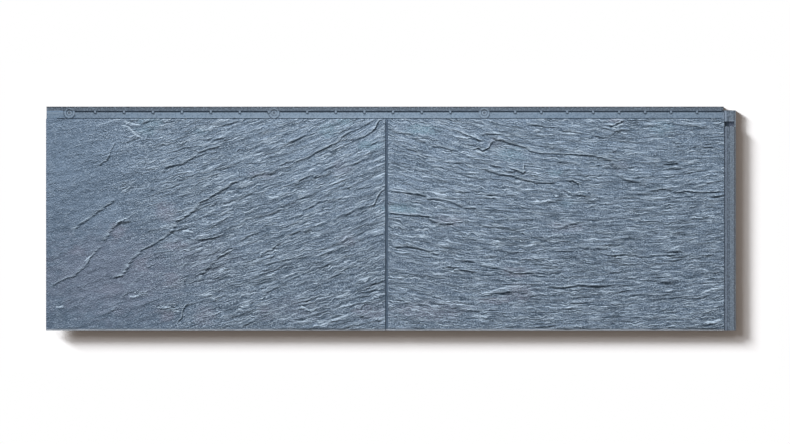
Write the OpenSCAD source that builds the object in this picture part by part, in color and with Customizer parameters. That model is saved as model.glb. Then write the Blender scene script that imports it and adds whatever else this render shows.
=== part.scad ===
/* [Face] */
// Width of the slate face that stays in view
face_w = 1095; // [900:1:1300]
// Height of the slate face that stays in view
face_h = 342; // [280:1:420]
// Depth from the wall behind the panel to the slate face
depth = 16; // [14:0.5:26]
// Thickness of the face and of the skirts
wall = 3; // [2:0.1:4]

/* [Slate joint] */
// Distance from the left edge to the middle of the joint between the two slates
joint_x = 550; // [400:1:700]
// Width of the joint, also left open beside the next panel in a course
joint_w = 4.8; // [4.6:0.1:7]
// Depth of the joint below the face
joint_depth = 3.4; // [1.5:0.1:4]
// Gap left open below the next course
course_gap = 2; // [1:0.5:5]

/* [Top flange] */
// Height of the fixing flange above the face
top_flange_h = 20; // [19:0.5:30]
// Thickness of both flanges
flange_t = 2.4; // [2:0.1:3]
// Width of the rail along the top edge
rail_w = 6.8; // [4:0.1:8]
// Height of the rail above the flange
rail_h = 1.5; // [1.2:0.1:3]
// Width of the channel below the rail
channel_w = 2.2; // [1.5:0.1:4]
// Depth of the channel in the flange
channel_depth = 1.2; // [0.5:0.1:1.4]
// Width of the groove at the foot of the face
foot_w = 1.6; // [1:0.1:3]
// Depth of the groove at the foot of the face
foot_depth = 1.2; // [0.5:0.1:1.4]
// Length of the raised land at the left end
land_len = 29; // [24:0.5:40]
// Length of the slope at the end of the land
land_slope = 3; // [1:0.5:6]

/* [Screw bosses] */
// Distances of the screw bosses from the left edge
screw_x = [37, 368, 708]; // [36:1:800]
// Diameter of each boss
boss_d = 18; // [14:0.5:18.5]
// Height of each boss above the flange
boss_h = 1; // [0.8:0.1:1.5]
// Diameter of the seat for the screw head
seat_d = 10.6; // [8:0.1:13]
// Depth of the seat in the boss
seat_depth = 0.6; // [0.4:0.1:0.7]
// Diameter of the screw hole
hole_d = 4.5; // [3.5:0.1:6]

/* [Gussets] */
// Distance of the first gusset from each boss
gusset_first = [41.5, 53.5, 50]; // [20:0.5:80]
// Pitch of the gussets after each boss
gusset_pitch = [46.8, 46.3, 42]; // [30:0.1:60]
// Number of gussets after each boss
gusset_count = [7, 6, 8]; // [1:1:10]
// Thickness of a gusset
gusset_t = 3; // [1.5:0.1:4]
// Reach of a gusset past the channel
gusset_foot = 2.6; // [2:0.1:4]
// Part of that reach that stays level with the rail
gusset_flat = 1.2; // [0.4:0.1:1.8]

/* [Side flange] */
// Width of the lap flange beside the face
side_flange_w = 20; // [19:0.5:30]
// Distance from the face to the water bar
bar_gap = 2.9; // [2:0.1:3]
// Width of the water bar at its foot
bar_w = 1.6; // [1.4:0.1:1.6]
// Height of the water bar
bar_h = 1.3; // [0.8:0.1:2]
// Slope on each flank of the water bar
bar_draft = 0.3; // [0:0.1:0.5]
// Width of the drain groove beside the water bar
drain_w = 5; // [4:0.1:6]
// Depth of the drain groove
drain_depth = 1.2; // [0.5:0.1:1.4]
// Bevel along the outer edge
side_bevel = 3; // [1:0.1:4]
// Distance from the top of the rail down to the top of the lap flange
side_top_drop = 6; // [2:0.5:12]

/* [Drain pocket] */
// Distance from the top of the face down to the pocket
pocket_drop = 4; // [3:0.5:10]
// Height of the pocket
pocket_h = 8.4; // [5:0.1:14]
// Thickness of the pocket's floor
pocket_floor = 2; // [1.5:0.1:3]

/* [Laps] */
// Clearance past the edge of a neighbour's flange
lap_clearance = 1.5; // [1:0.1:3]
// Clearance between pieces that lie one over the other
stack_gap = 0.4; // [0.2:0.1:1]
// Clearance under the face where it covers a lap flange
cover_gap = 0.8; // [0.4:0.1:1.5]
// Thickness of the lip along the left and bottom edges
lip_t = 2.5; // [2:0.1:3]
// Clearance under the lips
lip_gap = 0.5; // [0.3:0.1:1]

/* [Back ribs] */
// Number of ribs along the panel
long_ribs = 2; // [1:1:4]
// Thickness of a rib where it meets the face
rib_root_t = 3; // [2:0.1:4]
// Thickness of a rib at its foot
rib_foot_t = 2.2; // [1.5:0.1:3]

/* [Riven slate] */
// Height of the tallest ledge of the slates
ledge_h = 1.3; // [0.6:0.1:1.6]
// Width of a ledge across the cleavage at its middle
ledge_w = 18; // [10:1:24]
// Fullness of a ledge towards its two tips
ledge_full = 0.6; // [0.4:0.05:1]
// Steps along the brow of a ledge, its upper side
ledge_steps = 10; // [6:1:16]
// Smooth margin along the edges of each slate
ledge_margin = 2; // [1:0.5:6]

/* [Hidden] */

$fn = 64;
slate_colour = [0.45, 0.51, 0.58];
overlap = 1;

panel_w = face_w + side_flange_w;
panel_h = face_h + top_flange_h;

// Heights above the wall, from the face down
face_back = depth - wall;
side_z = face_back - cover_gap;
side_under = side_z - flange_t;
rail_z = side_under - stack_gap;
strip_z = rail_z - rail_h;
strip_under = strip_z - flange_t;
boss_z = strip_z + boss_h;
left_lip_z = side_z - drain_depth + lip_gap;
bottom_lip_z = rail_z + lip_gap;
land_under = strip_z + stack_gap;

// Room behind the left and bottom edges for the neighbours' flanges
left_lap = side_flange_w - joint_w + lap_clearance;
bottom_lap = top_flange_h - course_gap + lap_clearance;

rail_y = panel_h - rail_w;
channel_y = rail_y - channel_w;
side_top_y = panel_h - side_top_drop;
pocket_top_y = face_h - pocket_drop;
pocket_low_y = pocket_top_y - pocket_h;
drain_x = bar_gap + bar_w;
screw_y = face_h + top_flange_h / 2;
joint_left = joint_x - joint_w / 2;
joint_right = joint_x + joint_w / 2;

// Ledges left by the clefts: share of the full height, then points along the foot from left to right
left_ledges = [
    [0.85, [8, 71], [32, 84], [58, 98], [71, 116], [90, 137], [108, 164], [126, 179]],
    [0.6, [43, 160], [68, 179], [92, 197], [113, 211]],
    [1, [106, 84], [131, 98], [145, 119], [168, 135], [200, 156], [221, 181], [249, 206], [278, 223],
        [313, 242]],
    [0.7, [317, 248], [343, 250], [370, 253]],
    [0.85, [184, 250], [197, 265], [220, 268], [249, 287], [281, 297]],
    [0.5, [84, 266], [105, 292], [114, 308]],
    [0.6, [378, 265], [404, 273], [443, 290], [472, 303], [496, 323]],
    [0.85, [475, 307], [504, 310], [527, 321], [538, 337]],
    [0.7, [404, 232], [409, 241], [427, 250], [459, 255]],
    [0.85, [413, 192], [439, 206], [465, 208], [491, 214]],
    [0.85, [459, 176], [483, 185], [507, 198], [528, 200], [536, 217], [545, 227]],
    [0.6, [313, 172], [336, 184], [365, 187], [378, 195]],
    [0.6, [242, 147], [268, 148], [281, 151]],
    [0.6, [346, 118], [365, 130], [381, 142]],
    [0.7, [249, 79], [253, 93], [276, 114], [297, 127]],
    [0.7, [211, 11], [221, 30], [232, 45]],
    [0.6, [119, 51], [131, 59], [148, 61]],
    [0.6, [315, 4], [339, 17], [364, 24]]
];
right_ledges = [
    [0.85, [557, 323], [588, 318], [607, 305], [620, 294], [648, 294], [662, 290]],
    [0.85, [662, 324], [682, 315], [704, 305]],
    [1, [720, 310], [749, 302], [783, 289], [846, 284], [898, 279], [924, 260]],
    [0.6, [701, 315], [737, 316], [753, 313]],
    [0.85, [701, 263], [733, 252], [764, 245], [822, 237]],
    [0.6, [671, 286], [701, 271], [737, 263]],
    [0.7, [833, 227], [853, 218], [882, 208]],
    [0.7, [976, 224], [1000, 229], [1034, 226], [1090, 224]],
    [0.85, [552, 227], [591, 221], [615, 213], [661, 206], [701, 195], [735, 189]],
    [0.85, [552, 190], [616, 184], [641, 171], [662, 174]],
    [0.6, [688, 148], [714, 138], [758, 137]],
    [0.85, [559, 134], [611, 130], [637, 122]],
    [0.85, [701, 108], [746, 96], [792, 88]],
    [0.7, [701, 54], [743, 61], [753, 66]],
    [0.85, [811, 71], [863, 74], [895, 71]],
    [0.75, [814, 166], [840, 169], [866, 176]],
    [0.6, [800, 129], [863, 129], [879, 134]],
    [0.6, [984, 331], [1016, 334], [1076, 326]],
    [0.6, [872, 311], [898, 311], [914, 310]],
    [0.6, [572, 71], [598, 66], [624, 58]],
    [0.6, [947, 67], [968, 71], [992, 63]]
];

// A profile drawn across the panel, run along it
module along_x(from, to) {
    translate([from, 0, 0])
        rotate([90, 0, 90])
            linear_extrude(to - from)
                children();
}

// A profile drawn along the panel, run across it
module along_y(from, to) {
    translate([0, to, 0])
        rotate([90, 0, 0])
            linear_extrude(to - from)
                children();
}

// Section of the shell from the bottom lip to the top rail
module shell_section() {
    polygon([
        [0, bottom_lip_z],
        [0, depth],
        [face_h, depth],
        [face_h, strip_z - foot_depth],
        [face_h + foot_w, strip_z - foot_depth],
        [face_h + foot_w, strip_z],
        [channel_y, strip_z],
        [channel_y, strip_z - channel_depth],
        [rail_y, strip_z - channel_depth],
        [rail_y, rail_z],
        [panel_h, rail_z],
        [panel_h, 0],
        [panel_h - wall, 0],
        [panel_h - wall, strip_under],
        [face_h - wall, strip_under],
        [face_h - wall, face_back],
        [bottom_lap + wall, face_back],
        [bottom_lap + wall, 0],
        [bottom_lap, 0],
        [bottom_lap, face_back],
        [lip_t, face_back],
        [lip_t, bottom_lip_z]
    ]);
}

// Section of the shell where it laps over the neighbour on the left
module lap_section() {
    polygon([
        [0, bottom_lip_z],
        [0, depth],
        [face_h, depth],
        [face_h, rail_z],
        [panel_h, rail_z],
        [panel_h, land_under],
        [face_h - wall, land_under],
        [face_h - wall, face_back],
        [lip_t, face_back],
        [lip_t, bottom_lip_z]
    ]);
}

// Outline of a wall that closes the shell from side to side
module bulkhead_section() {
    polygon([
        [bottom_lap, 0],
        [bottom_lap, face_back + overlap],
        [face_h - wall / 2, face_back + overlap],
        [face_h - wall / 2, strip_under + overlap],
        [panel_h - wall / 2, strip_under + overlap],
        [panel_h - wall / 2, 0]
    ]);
}

// Section of a drafted rib that stands on the back, height h
module rib_section(h) {
    polygon([
        [-rib_foot_t / 2, 0],
        [rib_foot_t / 2, 0],
        [rib_root_t / 2, h],
        [-rib_root_t / 2, h]
    ]);
}

// Front of the lap flange, measured from the edge of the face
function side_front() = [
    [-wall, side_under],
    [-wall, depth - wall / 2],
    [0, depth - wall / 2],
    [0, side_z],
    [bar_gap, side_z],
    [bar_gap + bar_draft, side_z + bar_h],
    [drain_x - bar_draft, side_z + bar_h],
    [drain_x, side_z - drain_depth],
    [drain_x + drain_w - drain_depth, side_z - drain_depth],
    [drain_x + drain_w, side_z],
    [side_flange_w - side_bevel, side_z]
];

// Section of the lap flange with its outer skirt
module side_section() {
    polygon(concat(side_front(), [
        [side_flange_w, side_z - side_bevel],
        [side_flange_w, 0],
        [side_flange_w - wall, 0],
        [side_flange_w - wall, side_under]
    ]));
}

// Section of the lap flange where it crosses the course below
module side_lap_section() {
    polygon(concat(side_front(), [[side_flange_w, side_under]]));
}

module shell() {
    along_x(left_lap, face_w) shell_section();
    along_x(0, left_lap + overlap) lap_section();
    along_x(left_lap, left_lap + wall) bulkhead_section();
    translate([0, 0, left_lip_z]) cube([lip_t, face_h, depth - left_lip_z]);
}

// Raised land of the top flange, which slopes down to the strip
module land() {
    along_y(face_h + foot_w, panel_h)
        polygon([
            [left_lap, strip_under],
            [left_lap, rail_z],
            [land_len - land_slope, rail_z],
            [land_len, strip_z],
            [land_len, strip_under]
        ]);
}

// Wall that closes the right end of the top flange
module flange_end() {
    translate([face_w - wall, face_h - wall, 0])
        cube([wall, top_flange_h + wall, strip_z]);
}

module screw_boss() {
    cylinder(d = boss_d, h = boss_z);
}

module screw_bore() {
    translate([0, 0, -overlap]) cylinder(d = hole_d, h = depth);
    translate([0, 0, boss_z - seat_depth]) cylinder(d = seat_d, h = depth);
}

// Gusset that carries the rail across the channel
module gusset() {
    along_x(-gusset_t / 2, gusset_t / 2)
        polygon([
            [channel_y - gusset_foot, strip_z - channel_depth],
            [channel_y - gusset_foot, strip_z],
            [channel_y - gusset_flat, rail_z],
            [rail_y + overlap, rail_z],
            [rail_y + overlap, strip_z - channel_depth]
        ]);
}

module gussets() {
    for (bay = [0 : len(screw_x) - 1], i = [0 : gusset_count[bay] - 1]) {
        x = screw_x[bay] + gusset_first[bay] + i * gusset_pitch[bay];
        if (x < face_w - gusset_t) translate([x, 0, 0]) gusset();
    }
}

module side_flange() {
    translate([face_w, 0, 0]) {
        along_y(0, bottom_lap + overlap) side_lap_section();
        along_y(bottom_lap, pocket_low_y) side_section();
    }
    translate([face_w - wall, bottom_lap, 0])
        cube([side_flange_w, wall, side_under + overlap]);
}

// Low end of the lap flange, with the drain pocket between it and the rest
module side_head() {
    translate([face_w - wall, pocket_low_y - wall, 0])
        cube([side_flange_w, wall, side_under + overlap]);
    difference() {
        translate([face_w - wall, pocket_low_y - wall, 0])
            cube([side_flange_w + wall, side_top_y - pocket_low_y + wall, strip_z]);
        translate([face_w, pocket_low_y, pocket_floor])
            cube([side_flange_w - wall, pocket_h, depth]);
        translate([face_w, pocket_top_y + wall, -overlap])
            cube([side_flange_w - wall, side_top_y - pocket_top_y - 2 * wall, strip_under + overlap]);
    }
    translate([face_w - wall, pocket_low_y - overlap, pocket_floor])
        cube([wall, face_h - pocket_low_y + overlap, depth - wall / 2 - pocket_floor]);
}

module back_ribs() {
    low = bottom_lap + wall;
    pitch = (face_h - wall - low) / (long_ribs + 1);
    for (i = [1 : long_ribs]) translate([0, low + i * pitch, 0]) {
        along_x(left_lap + wall / 2, face_w - wall / 2) rib_section(face_back + overlap);
        along_x(face_w - wall, panel_w - wall / 2) rib_section(side_under + overlap);
    }
    along_x(joint_x - rib_root_t / 2, joint_x + rib_root_t / 2) bulkhead_section();
}

// Thicker strip behind the joint between the slates
module joint_backing() {
    translate([joint_left - flange_t, 0, depth - joint_depth - flange_t])
        cube([joint_w + 2 * flange_t, face_h, joint_depth + flange_t - wall / 2]);
}

module joint_groove() {
    translate([joint_left, -overlap, depth - joint_depth])
        cube([joint_w, face_h + 2 * overlap, depth]);
}

// Unit vector across a row of points, towards the left of their way
function across(points) =
    let (way = points[len(points) - 1] - points[0])
    [-way[1], way[0]] / norm(way);

// Point at a share of the way along a row of points
function point_at(points, share) =
    let (place = share * (len(points) - 1))
    let (i = floor(place))
    points[i] + (place - i) * (points[i + 1] - points[i]);

// Points along the brow of a ledge, back from its right tip to its left tip
function ledge_brow(foot) =
    [for (i = [ledge_steps - 1 : -1 : 1])
        let (share = i / ledge_steps)
        point_at(foot, share) + across(foot) * ledge_w * pow(sin(180 * share), ledge_full)];

module ledge(row) {
    foot = [for (i = [1 : len(row) - 1]) row[i]];
    translate([0, 0, depth - overlap])
        linear_extrude(ledge_h * row[0] + overlap)
            polygon(concat(foot, ledge_brow(foot)));
}

// Ledges of one slate, kept inside its edges
module riven(rows, from, to) {
    intersection() {
        translate([from + ledge_margin, ledge_margin, 0])
            cube([to - from - 2 * ledge_margin, face_h - 2 * ledge_margin, 2 * depth]);
        union() {
            for (row = rows) ledge(row);
        }
    }
}

module facade_panel() {
    color(slate_colour)
        translate([-panel_w / 2, -panel_h / 2, 0])
            difference() {
                union() {
                    shell();
                    land();
                    flange_end();
                    side_flange();
                    side_head();
                    back_ribs();
                    joint_backing();
                    gussets();
                    for (x = screw_x) translate([x, screw_y, 0]) screw_boss();
                    riven(left_ledges, 0, joint_left);
                    riven(right_ledges, joint_right, face_w);
                }
                joint_groove();
                for (x = screw_x) translate([x, screw_y, 0]) screw_bore();
            }
}

facade_panel();
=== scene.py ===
import math

import bmesh
import bpy
import numpy as np
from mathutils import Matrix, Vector


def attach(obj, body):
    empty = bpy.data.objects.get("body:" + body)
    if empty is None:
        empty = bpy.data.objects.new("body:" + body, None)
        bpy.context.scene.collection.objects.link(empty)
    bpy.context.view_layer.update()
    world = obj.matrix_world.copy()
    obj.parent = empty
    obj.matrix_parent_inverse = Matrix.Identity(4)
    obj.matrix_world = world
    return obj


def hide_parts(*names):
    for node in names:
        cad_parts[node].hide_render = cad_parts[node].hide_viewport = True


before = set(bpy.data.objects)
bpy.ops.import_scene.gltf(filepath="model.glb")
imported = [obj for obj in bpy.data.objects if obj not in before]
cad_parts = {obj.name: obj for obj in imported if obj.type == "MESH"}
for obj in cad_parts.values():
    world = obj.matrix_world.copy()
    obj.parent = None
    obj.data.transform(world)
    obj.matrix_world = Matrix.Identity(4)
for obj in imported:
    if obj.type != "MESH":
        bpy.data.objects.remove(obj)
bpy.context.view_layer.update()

MM = 0.001

# The photograph is square-on: its pixels give places on the front
PHOTO_LEFT = 46.2
PHOTO_BOTTOM = 330.7
PHOTO_SCALE = 1.616 * MM
PANEL_W = 1115 * MM
PANEL_H = 362 * MM

# Outlines of the two slates: left, right, bottom, top
FACE_BOTTOM = -181 * MM
FACE_TOP = 161 * MM
FACE_RIGHT = 537.5 * MM
LEFT_SLATE = (-557.5 * MM, -9.9 * MM, FACE_BOTTOM, FACE_TOP)
RIGHT_SLATE = (-5.1 * MM, FACE_RIGHT, FACE_BOTTOM, FACE_TOP)

# Slope of the cleavage at the corners of each slate: low left, low right, high left, high right
LEFT_BED = (0.40, 0.22, 0.12, 0.52)
RIGHT_BED = (-0.07, 0.15, -0.30, 0.03)

# Seeds of the relief of each slate and of the ragged edges of the patches
LEFT_SEED = 11
RIGHT_SEED = 41
TEAL_SEED = 71
MAUVE_SEED = 75
RAGGED_SEED = 79

# Heights over the wall: plain face, inside of the face, middle of the relief, floor of the cut for it,
# underside of a slate's block, limits of the relief, and a height clear of everything
FACE_Z = 16 * MM
INSIDE_Z = 13.1 * MM
FIELD_Z = 16.1 * MM
CUT_Z = 15 * MM
BLOCK_Z = 14 * MM
LOWEST_Z = 15.1 * MM
HIGHEST_Z = 18.9 * MM
CLEAR_Z = 30 * MM

# Gussets across the channel: first from the left edge, pitch and number, for each bay, in mm
GUSSETS = ((78.5, 46.8, 7), (421.5, 46.3, 6), (758, 42, 8))

# Slot on each side of a gusset: from and to beside its middle, up the panel and over the wall, in mm
SLOT_BESIDE = (1.45, 2.4)
SLOT_UP = (168.6, 172.4)
SLOT_OVER = (7.0, 12.0)

# Heights up the panel of the fixing flange's rail, the rail's dark edge and the channel
RAIL_Y = 174 * MM
RAIL_EDGE_Y = 178.3 * MM
CHANNEL_Y = (172.4 * MM, 174.2 * MM)

# Painted highlights and painted shade along the fixing flange, strongest at its middle: up from, up to, in
# mm, then share and colour
FLANGE_MIDDLE_X = -120 * MM
FLANGE_LIGHT_AND_SHADE_STRIPES = (
    (162.6, 174.0, 0.5, (0.240, 0.312, 0.390, 1)), (162.8, 164.2, 0.7, (0.290, 0.360, 0.440, 1)),
    (171.2, 172.6, 0.8, (0.085, 0.118, 0.160, 1)), (177.4, 178.6, 0.6, (0.050, 0.060, 0.075, 1)),
)

# Centres of the round screw bosses along the fixing flange, and their height up the panel
BOSSES = (-520.5 * MM, -189.5 * MM, 150.5 * MM)
BOSS_Y = 171 * MM

# Painted highlight and painted shade rings on a boss: ring from and to in mm from its centre, then share and
# colour
BOSS_LIGHT_AND_SHADE_RINGS = (
    (2.2, 3.4, 0.7, (0.330, 0.400, 0.470, 1)),
    (4.0, 5.6, 0.6, (0.040, 0.056, 0.078, 1)),
    (6.4, 7.8, 0.4, (0.330, 0.400, 0.470, 1)),
    (8.2, 9.4, 0.4, (0.050, 0.066, 0.088, 1)),
)

# End of the plain land at the left end of the flange
LAND_END = -528.5 * MM

# Painted highlights and painted shade across the lap flange: from and to in mm right of the face, then
# colour
SIDE_LIGHT_AND_SHADE_BANDS = (
    (-0.5, 1.6, (0.260, 0.310, 0.395, 1)), (1.6, 2.9, (0.110, 0.138, 0.180, 1)),
    (3.0, 4.6, (0.330, 0.385, 0.480, 1)), (4.9, 6.4, (0.074, 0.096, 0.135, 1)),
    (7.6, 9.6, (0.052, 0.070, 0.096, 1)), (16.4, 18.0, (0.072, 0.086, 0.106, 1)),
    (18.0, 19.2, (0.075, 0.086, 0.100, 1)), (19.3, 21.0, (0.300, 0.300, 0.310, 1)),
)

# Painted highlights and painted shade at the head of the lap flange and the slot below it: up from, up to,
# along from, along to, in mm, then colour
HEAD_LIGHT_AND_SHADE_MARKS = (
    (149.6, 156.4, 9.4, 17.0, (0.420, 0.450, 0.560, 1)), (149.6, 156.4, -0.5, 9.4, (0.150, 0.190, 0.240, 1)),
    (147.8, 149.4, 9.6, 14.5, (0.330, 0.360, 0.420, 1)), (147.8, 149.4, 2.6, 4.8, (0.360, 0.400, 0.470, 1)),
    (156.8, 158.2, 9.6, 14.5, (0.260, 0.285, 0.340, 1)), (156.8, 174.0, 0.6, 2.2, (0.085, 0.112, 0.150, 1)),
    (156.8, 174.0, 5.2, 7.4, (0.088, 0.115, 0.150, 1)), (173.4, 176.0, 0.0, 21.0, (0.090, 0.098, 0.105, 1)),
    (173.8, 182.0, -3.2, 0.5, (0.028, 0.030, 0.033, 1)),
)

# Lens and sensor of the camera in mm, and the pixels of the photograph across its view
LENS = 135
SENSOR = 36
VIEW_WIDTH = 789.5

# Colours of the lamps on the panel and on the floor
PANEL_LIGHT = (0.97, 1.0, 1.03)
FLOOR_LIGHT = (0.93, 1.22, 1.53)

# Ridges along the cleavage: height in mm, length and width in metres, and step of the seed
RIDGES = ((0.9, 0.080, 0.0085, 5), (0.6, 0.055, 0.0045, 9), (-0.5, 0.040, 0.0036, 12))

# Number of short clefts scattered over each slate
MINOR_CLEFTS = 150

# Plain lip along the bottom edge of both slates
LIP_H = 2.9 * MM

# Size of the relief's cells along the cleavage and across it, and their split round the chips
CELL_ALONG = 4.5 * MM
CELL_ACROSS = 1.15 * MM
CHIP_SPLIT = 4

# Main clefts of the left slate: drop in mm, then points in pixels of the photograph
LEFT_CLEFTS = {
    "corner_ledge": (1.0, (51, 287), (58, 283), (66, 279), (75, 276), (82, 270), (87, 265), (90, 259),
                     (94, 254), (102, 246)),
    "corner_ledge_end": (1.2, (103, 243), (110, 233), (113, 229), (118, 224), (124, 220)),
    "upper_left_ledge": (1.1, (73, 232), (80, 225), (88, 220), (97, 213), (103, 209), (110, 204),
                         (116, 200)),
    "long_ledge": (1.35, (112, 279), (118, 277), (123, 275), (127, 270), (130, 263), (136, 257),
                   (143, 250), (150, 247), (157, 243), (163, 239), (170, 234), (175, 228), (177, 222),
                   (183, 219), (190, 214), (196, 211), (200, 203), (207, 200), (218, 193), (224, 190),
                   (232, 184), (240, 181)),
    "long_ledge_end": (1.1, (242, 177), (250, 179), (258, 176), (265, 173), (275, 174)),
    "rising_cleft": (1.2, (280, 167), (288, 162), (296, 162), (308, 158), (320, 151), (332, 145),
                     (338, 143), (341, 138), (347, 134), (353, 131)),
    "top_right_ledge": (1.1, (340, 140.5), (350, 140), (358, 139), (366, 136), (372, 132), (376, 128),
                        (377, 124), (379, 121), (385, 120)),
    "high_ledge": (1.1, (160, 176), (164, 171), (168, 167), (175, 166), (182, 165), (188, 161),
                   (194, 157), (200, 153), (206, 150), (214, 148), (220, 147)),
    "top_nick": (0.5, (185, 127), (196, 122), (206, 120)),
    "middle_hook": (1.1, (296, 187), (299, 182), (303, 179), (310, 176), (318, 177), (326, 176),
                    (330, 173)),
    "joint_cleft": (0.8, (330, 222), (345, 216), (360, 208), (373, 206)),
    "middle_cleft": (1.1, (302, 212), (310, 208), (318, 203), (326, 201), (334, 202), (340, 199),
                     (350, 198)),
    "middle_scratch": (0.5, (241, 209), (262, 206)),
    "middle_scratch_end": (0.5, (279, 208), (288, 206)),
    "lower_cleft": (0.8, (240, 224), (246, 221), (254, 217), (272, 215), (280, 210)),
    "short_step": (0.8, (180, 271), (185, 266), (190, 261)),
    "flat_step": (1.1, (196, 240), (212, 239), (220, 237)),
    "low_hook": (0.9, (200, 282), (203, 273), (212, 265), (217, 260), (222, 256), (230, 252)),
    "low_flake": (0.7, (120, 299), (127, 294), (133, 292), (138, 293)),
    "low_scratch": (0.5, (105, 316), (111, 312), (117, 309)),
    "bottom_cleft": (0.8, (241, 328), (248, 324), (256, 320)),
    "edge_scratch": (0.5, (53, 260), (63, 253)),
    "top_step": (0.7, (142, 125), (150, 120)),
}

# Main clefts of the right slate
RIGHT_CLEFTS = {
    "top_left_ledge": (1.1, (391, 131), (400, 134), (410, 134), (416, 138), (422, 142), (427, 144),
                       (430, 149), (434, 147), (438, 146), (447, 149), (456, 151)),
    "left_scratch": (0.5, (400, 145), (408, 149), (422, 154)),
    "upper_step": (1.4, (456, 130), (461, 133), (468, 136), (474, 138), (482, 142)),
    "long_ledge": (1.3, (492, 139), (502, 141), (510, 144), (520, 147), (527, 148), (531, 152),
                   (548, 154), (570, 155), (592, 156), (602, 158), (610, 161), (613, 166), (618, 170)),
    "over_ledge": (1.1, (480, 136), (487, 134), (502, 135), (512, 137)),
    "under_step": (0.8, (461, 154), (475, 160)),
    "under_step_end": (0.8, (480, 163), (492, 166), (502, 168)),
    "second_ledge": (1.3, (480, 168), (487, 170), (493, 173), (500, 175), (507, 175), (514, 177),
                     (519, 179), (536, 183), (555, 184)),
    "middle_step": (0.9, (562, 190), (568, 193), (574, 196), (580, 194), (585, 198), (592, 202)),
    "right_ledge": (1.2, (650, 192), (658, 190), (665, 189), (672, 192), (678, 193), (686, 191),
                    (700, 193), (722, 192)),
    "right_step": (0.7, (684, 197), (690, 196), (696, 193)),
    "under_chip": (0.7, (600, 128), (610, 130)),
    "top_wave": (0.7, (586, 138), (593, 136), (602, 138), (612, 139)),
    "top_right_wave": (0.7, (655, 126), (665, 123), (675, 124), (685, 126), (712, 129)),
    "top_right_nick": (0.9, (670, 141), (679, 145)),
    "joint_ledge": (1.2, (388, 190), (398, 192), (412, 194), (424, 196), (427, 199), (440, 200),
                    (455, 203), (464, 209), (472, 208), (480, 210)),
    "lower_ledge": (1.3, (388, 213), (405, 215), (427, 217), (430, 220), (436, 223), (443, 225),
                    (456, 223)),
    "between_ledges": (0.6, (440, 212), (460, 213)),
    "ledge_tail": (0.7, (480, 210), (490, 210), (501, 214)),
    "low_left_ledge": (1.1, (392, 248), (408, 247), (424, 250), (432, 253), (440, 255)),
    "low_step": (0.8, (472, 239), (480, 243), (488, 245), (515, 246)),
    "stained_ledge": (1.1, (480, 264), (485, 267), (500, 269), (508, 271), (514, 274), (530, 273),
                      (536, 276)),
    "pale_ridge_foot": (0.9, (480, 297), (493, 294), (506, 293), (512, 290)),
    "bottom_left_step": (0.7, (400, 287), (416, 290), (432, 295)),
    "bottom_left_crack": (0.7, (404, 302), (412, 305), (430, 305)),
    "bottom_ledge": (1.1, (548, 287), (565, 288), (580, 285), (600, 287)),
    "brown_ledge": (1.0, (550, 228), (560, 229), (566, 226), (582, 222)),
    "flat_crack": (0.7, (541, 251), (575, 252)),
    "flat_crack_end": (0.7, (580, 252), (583, 249), (590, 248)),
    "bottom_right_step": (0.7, (632, 289), (645, 287), (660, 292)),
    "ledge_scratch": (0.7, (607, 149), (617, 152)),
    "right_scratch": (0.7, (640, 182), (652, 177)),
    "pale_ridge": (0.7, (520, 286), (508, 287), (495, 290), (482, 294)),
}

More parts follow.
